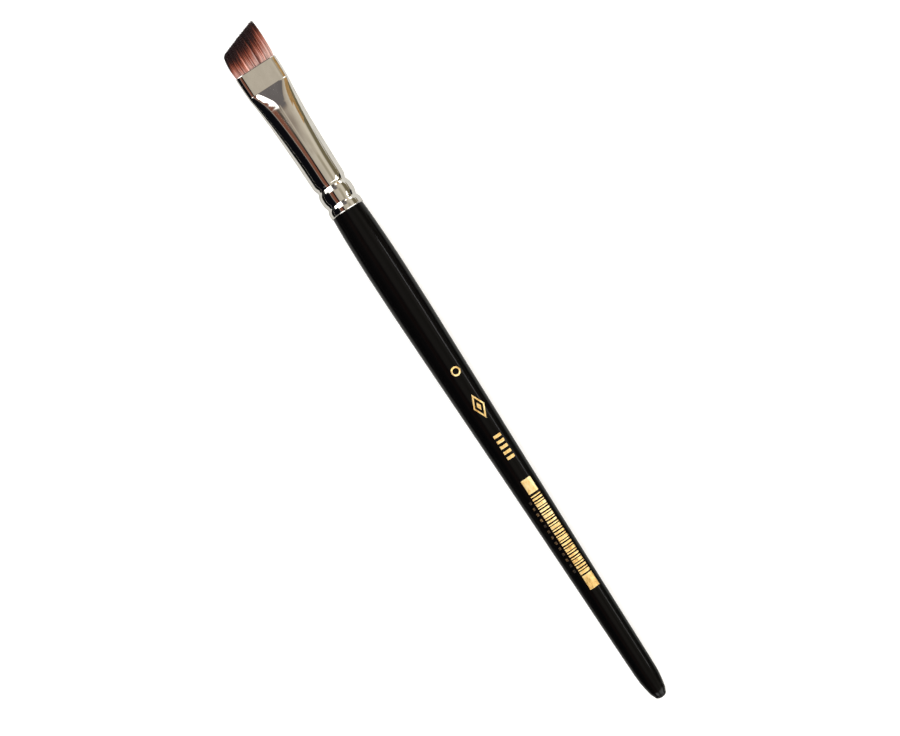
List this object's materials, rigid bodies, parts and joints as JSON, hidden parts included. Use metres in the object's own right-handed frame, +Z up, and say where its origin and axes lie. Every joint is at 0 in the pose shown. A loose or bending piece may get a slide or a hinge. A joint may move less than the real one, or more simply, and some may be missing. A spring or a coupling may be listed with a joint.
{
  "type": "angled flat decorating brush",
  "caption": "Slim short-handled flat brush with an obliquely cut synthetic tuft, crimped nickel ferrule and lacquered wooden handle; the tuft bends and springs back.",
  "frame": {"origin": "on the table, under the middle of the brush's length, with the brush lying on its flat", "axes": "+X along the axis towards the tuft, +Y across the flat towards the tuft's short side, +Z up out of the flat"},
  "size_m": [0.207, 0.0122, 0.0101],
  "materials": {
    "wood": "turned",
    "lacquer": "gloss lacquer",
    "cement": "cured glue",
    "nickel": "polished plate",
    "filament": "tapered synthetic filament, dark at the tip and pinkish at the root",
    "thread": "twisted thread",
    "resin": "cured epoxy",
    "foil": "hot-stamped gold foil"
  },
  "bodies": {
    "brush": {"handle_core": "wood", "handle_lacquer": "lacquer", "handle_cement": "cement", "ferrule": "nickel", "filament_roots": "filament", "binding_thread": "thread", "epoxy_plug": "resin", "foil_size_mark": "foil", "foil_emblem": "foil", "foil_item_marks": "foil", "foil_bar_panel": "foil", "foil_tick_row": "foil"},
    "tuft": {"filament_tuft": "filament"}
  },
  "joints": [
    {"name": "tuft_flex", "type": "hinge", "parent": "brush", "child": "tuft", "pos_m": [0.093, 0, 0.00503], "axis": [0, 1, 0], "range_deg": [-35, 35], "stiffness_Nm_per_rad": 0.004}
  ]
}
